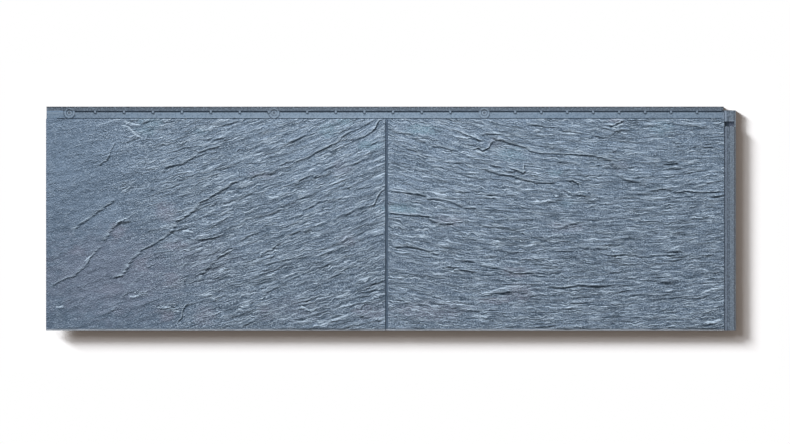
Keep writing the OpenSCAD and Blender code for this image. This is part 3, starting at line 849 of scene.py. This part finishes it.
def ranged(nodes, links, value, low, high, to_low, to_high):
    """A value carried from one range into another, held at the ends."""
    node = nodes.new("ShaderNodeMapRange")
    node.inputs["From Min"].default_value = low
    node.inputs["From Max"].default_value = high
    node.inputs["To Min"].default_value = to_low
    node.inputs["To Max"].default_value = to_high
    links.new(value, node.inputs["Value"])
    return node.outputs["Result"]


def tinted(nodes, links, factor, base, tint, blend="MIX"):
    """A colour blended with another by a mask."""
    node = new_node(nodes, "ShaderNodeMix", data_type="RGBA", blend_type=blend)
    links.new(factor, node.inputs["Factor"])
    for given, place in ((base, 6), (tint, 7)):
        if isinstance(given, tuple):
            node.inputs[place].default_value = given
        else:
            links.new(given, node.inputs[place])
    return node.outputs[2]


def both(nodes, links, first, second, operation="MULTIPLY"):
    """Two masks put together: their product, unless another operation is named."""
    node = new_node(nodes, "ShaderNodeMath", operation=operation)
    links.new(first, node.inputs[0])
    links.new(second, node.inputs[1])
    return node.outputs[0]


def blended(nodes, links, factor, first, second):
    """A value carried towards another, or towards a plain number, by a mask."""
    node = new_node(nodes, "ShaderNodeMix", data_type="FLOAT")
    links.new(factor, node.inputs["Factor"])
    links.new(first, node.inputs[2])
    if isinstance(second, float):
        node.inputs[3].default_value = second
    else:
        links.new(second, node.inputs[3])
    return node.outputs[0]


def shifted(nodes, links, value, noise, reach):
    """A value moved by a noise times a reach."""
    node = new_node(nodes, "ShaderNodeMath", operation="MULTIPLY_ADD")
    links.new(noise, node.inputs[0])
    node.inputs[1].default_value = reach
    links.new(value, node.inputs[2])
    return node.outputs[0]


def bumped(nodes, links, height, strength, distance):
    """A bump node raised by a value."""
    node = nodes.new("ShaderNodeBump")
    node.inputs["Strength"].default_value = strength
    node.inputs["Distance"].default_value = distance
    links.new(height, node.inputs["Height"])
    return node


def band(nodes, links, value, low, high):
    """A mask that is 1 between two lengths and 0 outside them."""
    soft = 0.25 * MM
    begun = ranged(nodes, links, value, low - soft, low + soft, 0, 1)
    not_over = ranged(nodes, links, value, high - soft, high + soft, 1, 0)
    return both(nodes, links, begun, not_over)


def attribute(nodes, name):
    node = nodes.new("ShaderNodeAttribute")
    node.attribute_name = name
    return node.outputs["Fac"]


def fine_ridges(nodes, links, place, speckle):
    """Thin ridges along the cleavage, with a wavy and ragged course."""
    ripple = new_node(nodes, "ShaderNodeTexNoise", noise_dimensions="3D")
    ripple.inputs["Scale"].default_value = 95.0
    ripple.inputs["Detail"].default_value = 1.0
    links.new(place, ripple.inputs["Vector"])
    across = shifted(nodes, links, attribute(nodes, "cleavage_across"), ripple.outputs["Fac"], 10 * MM)
    across = shifted(nodes, links, across, speckle, 2.6 * MM)
    grain = nodes.new("ShaderNodeCombineXYZ")
    links.new(attribute(nodes, "cleavage_along"), grain.inputs["X"])
    links.new(across, grain.inputs["Y"])
    stretch = new_node(nodes, "ShaderNodeMapping", vector_type="POINT")
    stretch.inputs["Scale"].default_value = (32, 640, 1)
    links.new(grain.outputs["Vector"], stretch.inputs["Vector"])
    ridges = new_node(nodes, "ShaderNodeTexNoise", noise_dimensions="2D")
    ridges.inputs["Scale"].default_value = 1.0
    ridges.inputs["Detail"].default_value = 1.0
    ridges.inputs["Roughness"].default_value = 0.5
    ridges.inputs["Distortion"].default_value = 0.6
    links.new(stretch.outputs["Vector"], ridges.inputs["Vector"])
    return ridges.outputs["Fac"]


def joint_tone(nodes, links, part, base):
    """Darkens the bottom of the joint between the slates, with painted light on its left against the shadow
    of the left slate's wall.
    """
    start = LEFT_SLATE[1]
    joint = band(nodes, links, part.outputs["X"], start, RIGHT_SLATE[0])
    below = ranged(nodes, links, part.outputs["Z"], LOWEST_Z - 0.2 * MM, LOWEST_Z - 0.4 * MM, 0, 0.9)
    shade = ranged(nodes, links, part.outputs["X"], start, start + 2.4 * MM, 0, 1)
    groove = tinted(nodes, links, shade, (0.320, 0.430, 0.580, 1), (0.170, 0.235, 0.325, 1))
    return tinted(nodes, links, both(nodes, links, joint, below), base, groove)


def slate_material(mottle):
    material, nodes, links, shader = new_material("moulded_slate")
    place = nodes.new("ShaderNodeTexCoord").outputs["Object"]
    spots = place_group(nodes, links, mottle, place, Cloud_scale=20.0, Speckle_scale=470.0)
    speckle = spots.outputs["Speckle"]
    part = nodes.new("ShaderNodeSeparateXYZ")
    links.new(place, part.inputs["Vector"])
    up = part.outputs["Y"]
    lip_top = FACE_BOTTOM + LIP_H
    lip = ranged(nodes, links, up, lip_top, lip_top - 0.6 * MM, 0, 1)
    calm = attribute(nodes, "calm")
    crumb = blended(nodes, links, ranged(nodes, links, calm, 0, 1, 0, 0.5), speckle, 0.5)
    ridges = fine_ridges(nodes, links, place, speckle)
    ridges = blended(nodes, links, ranged(nodes, links, calm, 0, 1, 0, 1), ridges, crumb)
    ridges = blended(nodes, links, lip, ridges, 0.5)
    raised = new_node(nodes, "ShaderNodeMath", operation="SUBTRACT")
    links.new(ridges, raised.inputs[0])
    raised.inputs[1].default_value = 0.5
    line = both(nodes, links, raised.outputs[0], attribute(nodes, "rough"))
    hollow = attribute(nodes, "hollow")
    cleft_shade_and_highlight = attribute(nodes, "cleft_shade_and_highlight")
    base = tinted(nodes, links, ranged(nodes, links, spots.outputs["Cloud"], 0.3, 0.7, 0, 1),
                  (0.134, 0.182, 0.247, 1), (0.171, 0.228, 0.305, 1))
    # Painted shade: the slates darker towards the bottom
    base = tinted(nodes, links, ranged(nodes, links, up, 100 * MM, -80 * MM, 0, 1),
                  base, (0.77, 0.77, 0.78, 1), "MULTIPLY")
    for mask, start, full, share, colour in (
        (attribute(nodes, "mauve"), 0, 1, 0.9, (0.196, 0.202, 0.260, 1)),
        (attribute(nodes, "teal"), 0, 1, 0.8, (0.176, 0.275, 0.338, 1)),
        (crumb, 0.47, 0.34, 0.84, (0.060, 0.090, 0.125, 1)),
        (crumb, 0.53, 0.65, 0.92, (0.340, 0.410, 0.490, 1)),
        # Painted shade in the hollows and painted highlights on the crests
        (hollow, 0.08, 0.55, 0.45, (0.062, 0.094, 0.130, 1)),
        (hollow, -0.05, -0.40, 0.4, (0.280, 0.345, 0.420, 1)),
        # Painted shade in the troughs of the fine ridges and painted highlights on their crests
        (line, -0.03, -0.16, 0.72, (0.052, 0.080, 0.112, 1)),
        (line, 0.05, 0.17, 0.84, (0.400, 0.475, 0.555, 1)),
        # Painted shade and painted highlights along the clefts
        (cleft_shade_and_highlight, 0.10, 0.75, 0.34, (0.058, 0.094, 0.140, 1)),
        (cleft_shade_and_highlight, -0.12, -0.8, 0.75, (0.400, 0.475, 0.550, 1)),
    ):
        base = tinted(nodes, links, ranged(nodes, links, mask, start, full, 0, share), base, colour)
    base = joint_tone(nodes, links, part, base)
    base = tinted(nodes, links, lip, base, (0.310, 0.335, 0.370, 1))
    links.new(base, shader.inputs["Base Color"])
    links.new(ranged(nodes, links, crumb, 0.3, 0.7, 0.40, 0.58), shader.inputs["Roughness"])
    shader.inputs["Specular IOR Level"].default_value = 0.3
    crumbs = bumped(nodes, links, crumb, 1.0, 1.5 * MM)
    bump = bumped(nodes, links, line, 1.0, 2.3 * MM)
    links.new(crumbs.outputs["Normal"], bump.inputs["Normal"])
    links.new(bump.outputs["Normal"], shader.inputs["Normal"])
    return material


def flange_material(mottle):
    material, nodes, links, shader = new_material("flange_skin")
    place = nodes.new("ShaderNodeTexCoord").outputs["Object"]
    spots = place_group(nodes, links, mottle, place, Cloud_scale=22.0, Speckle_scale=420.0)
    cloud = spots.outputs["Cloud"]
    speckle = spots.outputs["Speckle"]
    part = nodes.new("ShaderNodeSeparateXYZ")
    links.new(place, part.inputs["Vector"])
    along = part.outputs["X"]
    up = part.outputs["Y"]
    rail = ranged(nodes, links, up, RAIL_Y, RAIL_Y + 0.6 * MM, 0, 1)
    base = tinted(nodes, links, rail, (0.156, 0.212, 0.278, 1), (0.075, 0.093, 0.118, 1))
    edge = ranged(nodes, links, up, RAIL_EDGE_Y, RAIL_EDGE_Y + 0.6 * MM, 0, 1)
    base = tinted(nodes, links, edge, base, (0.030, 0.034, 0.040, 1))
    # Painted light on the strip just below the channel, lifting the rail's shadow there
    near_channel = band(nodes, links, up, CHANNEL_Y[0] - 2.6 * MM, CHANNEL_Y[0])
    base = tinted(nodes, links, near_channel, base, (0.205, 0.268, 0.340, 1))
    from_middle = new_node(nodes, "ShaderNodeMath", operation="SUBTRACT")
    links.new(along, from_middle.inputs[0])
    from_middle.inputs[1].default_value = FLANGE_MIDDLE_X
    aside = new_node(nodes, "ShaderNodeMath", operation="ABSOLUTE")
    links.new(from_middle.outputs[0], aside.inputs[0])
    # Painted highlights and painted shade in stripes along the strip and rail, fading away from the middle
    for low, high, share, colour in FLANGE_LIGHT_AND_SHADE_STRIPES:
        stripe = band(nodes, links, up, low * MM, high * MM)
        fading = ranged(nodes, links, aside.outputs[0], 100 * MM, 400 * MM, share, 0)
        base = tinted(nodes, links, both(nodes, links, stripe, fading), base, colour)
    # Painted light in the channel, lifting the rail's shadow in it
    channel = band(nodes, links, up, *CHANNEL_Y)
    base = tinted(nodes, links, channel, base, (0.200, 0.285, 0.400, 1))
    # Painted highlight on the gusset tops beyond the land
    raised = ranged(nodes, links, part.outputs["Z"], 9.2 * MM, 9.3 * MM, 0, 1)
    gusset = both(nodes, links, raised, band(nodes, links, up, 168 * MM, CHANNEL_Y[1]))
    beyond_land = ranged(nodes, links, along, LAND_END, LAND_END + 1 * MM, 0, 1)
    base = tinted(nodes, links, both(nodes, links, gusset, beyond_land), base, (0.240, 0.300, 0.370, 1))
    # Painted shade in the groove along the foot of the face
    foot = band(nodes, links, up, FACE_TOP - 1 * MM, FACE_TOP + 1.6 * MM)
    base = tinted(nodes, links, foot, base, (0.080, 0.120, 0.170, 1))
    flat = nodes.new("ShaderNodeCombineXYZ")
    links.new(along, flat.inputs["X"])
    links.new(up, flat.inputs["Y"])
    # Painted highlight and painted shade rings round each boss
    for boss in BOSSES:
        reach = new_node(nodes, "ShaderNodeVectorMath", operation="DISTANCE")
        links.new(flat.outputs["Vector"], reach.inputs[0])
        reach.inputs[1].default_value = (boss, BOSS_Y, 0)
        for start, end, share, colour in BOSS_LIGHT_AND_SHADE_RINGS:
            ring = band(nodes, links, reach.outputs["Value"], start * MM, end * MM)
            base = tinted(nodes, links, ranged(nodes, links, ring, 0, 1, 0, share), base, colour)
    side = ranged(nodes, links, along, FACE_RIGHT, FACE_RIGHT + 0.3 * MM, 0, 1)
    base = tinted(nodes, links, side, base, (0.134, 0.158, 0.190, 1))
    # Painted highlights and painted shade in bands across the lap flange
    for start, end, colour in SIDE_LIGHT_AND_SHADE_BANDS:
        stripe = band(nodes, links, along, FACE_RIGHT + start * MM, FACE_RIGHT + end * MM)
        base = tinted(nodes, links, stripe, base, colour)
    # Painted highlights and painted shade at the head of the lap flange and in the slot below it
    for low, high, start, end, colour in HEAD_LIGHT_AND_SHADE_MARKS:
        level = band(nodes, links, up, low * MM, high * MM)
        stripe = band(nodes, links, along, FACE_RIGHT + start * MM, FACE_RIGHT + end * MM)
        base = tinted(nodes, links, both(nodes, links, level, stripe), base, colour)
    for mask, start, full, share, colour in (
        (cloud, 0.3, 0.7, 0.35, (0.110, 0.132, 0.162, 1)),
        (speckle, 0.45, 0.66, 0.55, (0.255, 0.310, 0.375, 1)),
        (speckle, 0.46, 0.32, 0.5, (0.075, 0.098, 0.128, 1)),
    ):
        base = tinted(nodes, links, ranged(nodes, links, mask, start, full, 0, share), base, colour)
    links.new(base, shader.inputs["Base Color"])
    links.new(ranged(nodes, links, cloud, 0.3, 0.7, 0.38, 0.52), shader.inputs["Roughness"])
    bump = bumped(nodes, links, speckle, 0.5, 0.15 * MM)
    links.new(bump.outputs["Normal"], shader.inputs["Normal"])
    return material


def back_material(mottle):
    material, nodes, links, shader = new_material("raw_glass_fibre_back")
    place = nodes.new("ShaderNodeTexCoord").outputs["Object"]
    spots = place_group(nodes, links, mottle, place, Cloud_scale=18.0, Speckle_scale=380.0)
    strands = new_node(nodes, "ShaderNodeTexVoronoi", feature="DISTANCE_TO_EDGE")
    strands.inputs["Scale"].default_value = 160
    links.new(place, strands.inputs["Vector"])
    strand = ranged(nodes, links, strands.outputs["Distance"], 0.0, 0.12, 1, 0)
    base = tinted(nodes, links, ranged(nodes, links, spots.outputs["Cloud"], 0.3, 0.7, 0, 1),
                  (0.150, 0.185, 0.225, 1), (0.190, 0.225, 0.262, 1))
    base = tinted(nodes, links, ranged(nodes, links, strand, 0, 1, 0, 0.45),
                  base, (0.330, 0.350, 0.360, 1))
    links.new(base, shader.inputs["Base Color"])
    links.new(ranged(nodes, links, spots.outputs["Speckle"], 0.3, 0.7, 0.55, 0.75),
              shader.inputs["Roughness"])
    bump = bumped(nodes, links, strand, 0.6, 0.2 * MM)
    links.new(bump.outputs["Normal"], shader.inputs["Normal"])
    return material


def floor_material():
    """Warm paper under a cool lamp, white where lit and warm in shade.

    Further out it is clean white, and under the panel it glows with painted light in a slate tone, in place
    of the shade seen through the screw holes.
    """
    material, nodes, links, shader = new_material("studio_floor")
    shader.inputs["Base Color"].default_value = (0.93, 0.72, 0.59, 1)
    shader.inputs["Roughness"].default_value = 0.9
    shader.inputs["Specular IOR Level"].default_value = 0.0
    white = nodes.new("ShaderNodeEmission")
    white.inputs["Color"].default_value = (1, 1, 1, 1)
    # Painted light: a glow in a slate tone under the panel, in place of the shade seen through the screw
    # holes
    painted_light_under_panel = nodes.new("ShaderNodeEmission")
    painted_light_under_panel.inputs["Color"].default_value = (0.130, 0.165, 0.215, 1)
    place = nodes.new("ShaderNodeTexCoord").outputs["Object"]
    part = nodes.new("ShaderNodeSeparateXYZ")
    links.new(place, part.inputs["Vector"])
    far = []
    hidden = []
    for axis, half in (("X", PANEL_W / 2), ("Y", PANEL_H / 2)):
        distance = new_node(nodes, "ShaderNodeMath", operation="ABSOLUTE")
        links.new(part.outputs[axis], distance.inputs[0])
        far.append(ranged(nodes, links, distance.outputs[0], half + 30 * MM, half + 70 * MM, 0, 1))
        hidden.append(ranged(nodes, links, distance.outputs[0], half - 6 * MM, half - 5 * MM, 1, 0))
    ray = nodes.new("ShaderNodeLightPath")
    camera_ray = ray.outputs["Is Camera Ray"]
    seen = both(nodes, links, camera_ray, ray.outputs["Is Glossy Ray"], "MAXIMUM")
    through = both(nodes, links, both(nodes, links, hidden[0], hidden[1]), camera_ray)
    outside = both(nodes, links, both(nodes, links, far[0], far[1], "MAXIMUM"), seen)
    covered = nodes.new("ShaderNodeMixShader")
    links.new(through, covered.inputs["Fac"])
    links.new(shader.outputs["BSDF"], covered.inputs[1])
    links.new(painted_light_under_panel.outputs["Emission"], covered.inputs[2])
    mix = nodes.new("ShaderNodeMixShader")
    links.new(outside, mix.inputs["Fac"])
    links.new(covered.outputs["Shader"], mix.inputs[1])
    links.new(white.outputs["Emission"], mix.inputs[2])
    links.new(mix.outputs["Shader"], nodes["Material Output"].inputs["Surface"])
    return material


def dress(piece, finishes):
    """Gives each face of the panel its finish: slate, flange skin or raw back."""
    mesh = piece.data
    mesh.materials.clear()
    for finish in finishes:
        mesh.materials.append(finish)
    count = len(mesh.polygons)
    centre = np.empty(count * 3)
    normal = np.empty(count * 3)
    mesh.polygons.foreach_get("center", centre)
    mesh.polygons.foreach_get("normal", normal)
    x, y, z = centre.reshape(-1, 3).T
    facing = normal.reshape(-1, 3)[:, 2]
    over = 0.05 * MM
    flange = (x > FACE_RIGHT + over) | (y > FACE_TOP + over)
    rim = (x < LEFT_SLATE[0] + over) | (y < FACE_BOTTOM + over) | (x > FACE_RIGHT - over)
    behind = (facing < -0.5) | ((z < INSIDE_Z) & ~rim & ~flange & (facing < 0.5))
    finish = np.where(behind, 2, np.where(flange, 1, 0))
    mesh.polygons.foreach_set("material_index", finish.astype(np.int32))
    mesh.set_sharp_from_angle(angle=math.radians(48))
    mesh.polygons.foreach_set("use_smooth", (finish == 0) & (z > LOWEST_Z - over))


def slot_row_tree():
    """Geometry nodes that add a row of like boxes to what they are given."""
    tree = bpy.data.node_groups.new("slot_row", "GeometryNodeTree")
    face = tree.interface
    face.new_socket("Geometry", in_out="INPUT", socket_type="NodeSocketGeometry")
    face.new_socket("First", in_out="INPUT", socket_type="NodeSocketVector")
    face.new_socket("Pitch", in_out="INPUT", socket_type="NodeSocketVector")
    face.new_socket("Count", in_out="INPUT", socket_type="NodeSocketInt")
    face.new_socket("Size", in_out="INPUT", socket_type="NodeSocketVector")
    face.new_socket("Finish", in_out="INPUT", socket_type="NodeSocketMaterial")
    face.new_socket("Geometry", in_out="OUTPUT", socket_type="NodeSocketGeometry")
    nodes = tree.nodes
    links = tree.links
    given = nodes.new("NodeGroupInput")
    made = nodes.new("NodeGroupOutput")
    row = new_node(nodes, "GeometryNodeMeshLine", mode="OFFSET")
    box = nodes.new("GeometryNodeMeshCube")
    placed = nodes.new("GeometryNodeInstanceOnPoints")
    joined = nodes.new("GeometryNodeJoinGeometry")
    real = nodes.new("GeometryNodeRealizeInstances")
    finish = nodes.new("GeometryNodeSetMaterial")
    links.new(given.outputs["First"], row.inputs["Start Location"])
    links.new(given.outputs["Pitch"], row.inputs["Offset"])
    links.new(given.outputs["Count"], row.inputs["Count"])
    links.new(given.outputs["Size"], box.inputs["Size"])
    links.new(row.outputs["Mesh"], placed.inputs["Points"])
    links.new(box.outputs["Mesh"], placed.inputs["Instance"])
    links.new(placed.outputs["Instances"], joined.inputs["Geometry"])
    links.new(given.outputs["Geometry"], joined.inputs["Geometry"])
    links.new(joined.outputs["Geometry"], real.inputs["Geometry"])
    links.new(real.outputs["Geometry"], finish.inputs["Geometry"])
    links.new(given.outputs["Finish"], finish.inputs["Material"])
    links.new(finish.outputs["Geometry"], made.inputs["Geometry"])
    return tree


def set_inputs(modifier, **values):
    """Sets the named inputs of a geometry nodes modifier."""
    for item in modifier.node_group.interface.items_tree:
        if item.in_out == "INPUT" and item.name in values:
            modifier[item.identifier] = values[item.name]


def gusset_slots(panel, finish):
    """Sharp little recesses on both sides of each gusset, where the strip meets it."""
    slots = add_object("gusset_slots", bpy.data.meshes.new("gusset_slots"))
    tree = slot_row_tree()
    beside, up, over = (sum(limits) / 2 * MM for limits in (SLOT_BESIDE, SLOT_UP, SLOT_OVER))
    size = [(limits[1] - limits[0]) * MM for limits in (SLOT_BESIDE, SLOT_UP, SLOT_OVER)]
    for first, pitch, count in GUSSETS:
        for side in (-1, 1):
            row = slots.modifiers.new("slot_row", "NODES")
            row.node_group = tree
            start = [first * MM - PANEL_W / 2 + side * beside, up, over]
            set_inputs(row, First=start, Pitch=[pitch * MM, 0.0, 0.0], Count=count, Size=size, Finish=finish)
    settle(slots)
    work(panel, slots, "DIFFERENCE")


def build_panel():
    mottle = mottle_group()
    finishes = (slate_material(mottle), flange_material(mottle), back_material(mottle))
    panel = merged_copy(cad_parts["facade_panel"], "slate_panel")
    gusset_slots(panel, finishes[1])
    for name, field in (("left_cut", LEFT_SLATE), ("right_cut", RIGHT_SLATE)):
        work(panel, box_object(name, *field, CUT_Z, CLEAR_Z), "DIFFERENCE")
    clefts = (*LEFT_CLEFTS.values(), *LEFT_SEAMS)
    left = slate_block("left_slate", LEFT_SLATE, LEFT_BED, LEFT_SEED, clefts, LEFT_CHIPS, 1.0)
    work(panel, left, "UNION")
    clefts = (*RIGHT_CLEFTS.values(), *RIGHT_SEAMS)
    right = slate_block("right_slate", RIGHT_SLATE, RIGHT_BED, RIGHT_SEED, clefts, RIGHT_CHIPS, 1.1)
    work(panel, right, "UNION")
    paint_attributes(panel.data)
    dress(panel, finishes)
    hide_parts("facade_panel")
    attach(panel, "root")
    return panel


def lay_floor():
    half = 6.0
    mesh = bpy.data.meshes.new("studio_floor")
    mesh.from_pydata([(-half, -half, 0), (half, -half, 0), (half, half, 0), (-half, half, 0)], [],
                     [(0, 1, 2, 3)])
    floor = add_object("studio_floor", mesh)
    floor.location.z = -0.2 * MM
    mesh.materials.append(floor_material())
    return floor


def light_only(lamp, lit):
    """Keeps a lamp's light to one object; others still cast shadows in it."""
    group = bpy.data.collections.new(lamp.name + "_lights")
    group.objects.link(lit)
    lamp.light_linking.receiver_collection = group


def softbox(name, lit, place, aim, size, watts, colour):
    lamp = bpy.data.lights.new(name, "AREA")
    lamp.shape = "RECTANGLE"
    lamp.size = size[0]
    lamp.size_y = size[1]
    lamp.energy = watts
    lamp.color = colour
    box = add_object(name, lamp)
    way = Vector(aim) - Vector(place)
    box.location = place
    box.rotation_euler = way.to_track_quat("-Z", "Y").to_euler()
    light_only(box, lit)


def key_light(name, lit, azimuth, elevation, spread, strength, colour):
    """A broad far light on one object, given by where it stands over the panel, in degrees."""
    lamp = bpy.data.lights.new(name, "SUN")
    lamp.energy = strength
    lamp.angle = math.radians(spread)
    lamp.color = colour
    key = add_object(name, lamp)
    key.rotation_euler = (math.radians(90 - elevation), 0, math.radians(azimuth + 90))
    light_only(key, lit)


def light_studio(panel, floor):
    key_light("panel_key", panel, 104, 28, 12, 4.5, PANEL_LIGHT)
    key_light("floor_key", floor, 148, 17.6, 13, 7.8, FLOOR_LIGHT)
    key_light("floor_fill", floor, 148, 28, 22, 1.7, FLOOR_LIGHT)
    softbox("top_softbox", panel, (0.02, 0.66, 0.58), (0.02, 0.10, 0), (0.5, 0.2), 2.6, PANEL_LIGHT)
    world = bpy.data.worlds.new("studio_fill")
    bpy.context.scene.world = world
    world.use_nodes = True
    sky = world.node_tree.nodes["Background"]
    sky.inputs["Color"].default_value = (0.88, 0.97, 1.05, 1)
    sky.inputs["Strength"].default_value = 0.235


def set_camera():
    lens = bpy.data.cameras.new("square_on_camera")
    lens.lens = LENS
    lens.sensor_width = SENSOR
    lens.clip_end = 50
    camera = add_object("square_on_camera", lens)
    distance = VIEW_WIDTH * PHOTO_SCALE * LENS / SENSOR
    camera.location = (6.1 * MM, -5.7 * MM, FACE_Z + distance)
    bpy.context.scene.camera = camera


bpy.context.scene.view_settings.view_transform = "Standard"
panel = build_panel()
floor = lay_floor()
light_studio(panel, floor)
set_camera()
